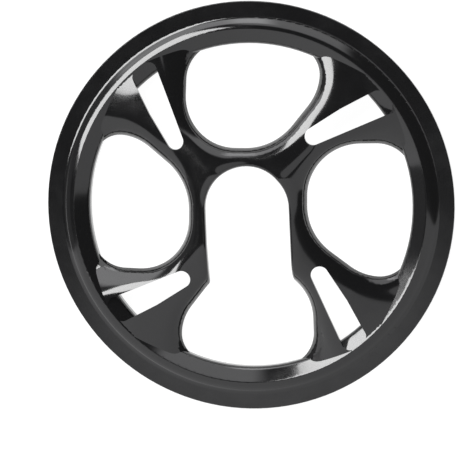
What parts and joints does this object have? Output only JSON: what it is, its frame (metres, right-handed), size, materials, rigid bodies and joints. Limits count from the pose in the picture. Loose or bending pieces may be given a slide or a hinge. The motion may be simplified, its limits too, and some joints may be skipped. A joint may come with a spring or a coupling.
{
  "type": "bicycle chain guard",
  "caption": "Round moulded chain guard for a bicycle crank: a flanged ring with slotted pinwheel spokes and a keyhole through the hub for the crank arm.",
  "frame": {"origin": "centre of the ring on the plane of the seat that stands on the chainring", "axes": "+Z along the ring's axis towards the front, -Y along the keyhole towards its open end"},
  "size_m": [0.186, 0.186, 0.0211],
  "materials": {
    "body": "gloss"
  },
  "bodies": {
    "root": {"chain_guard": "body"}
  },
  "joints": []
}
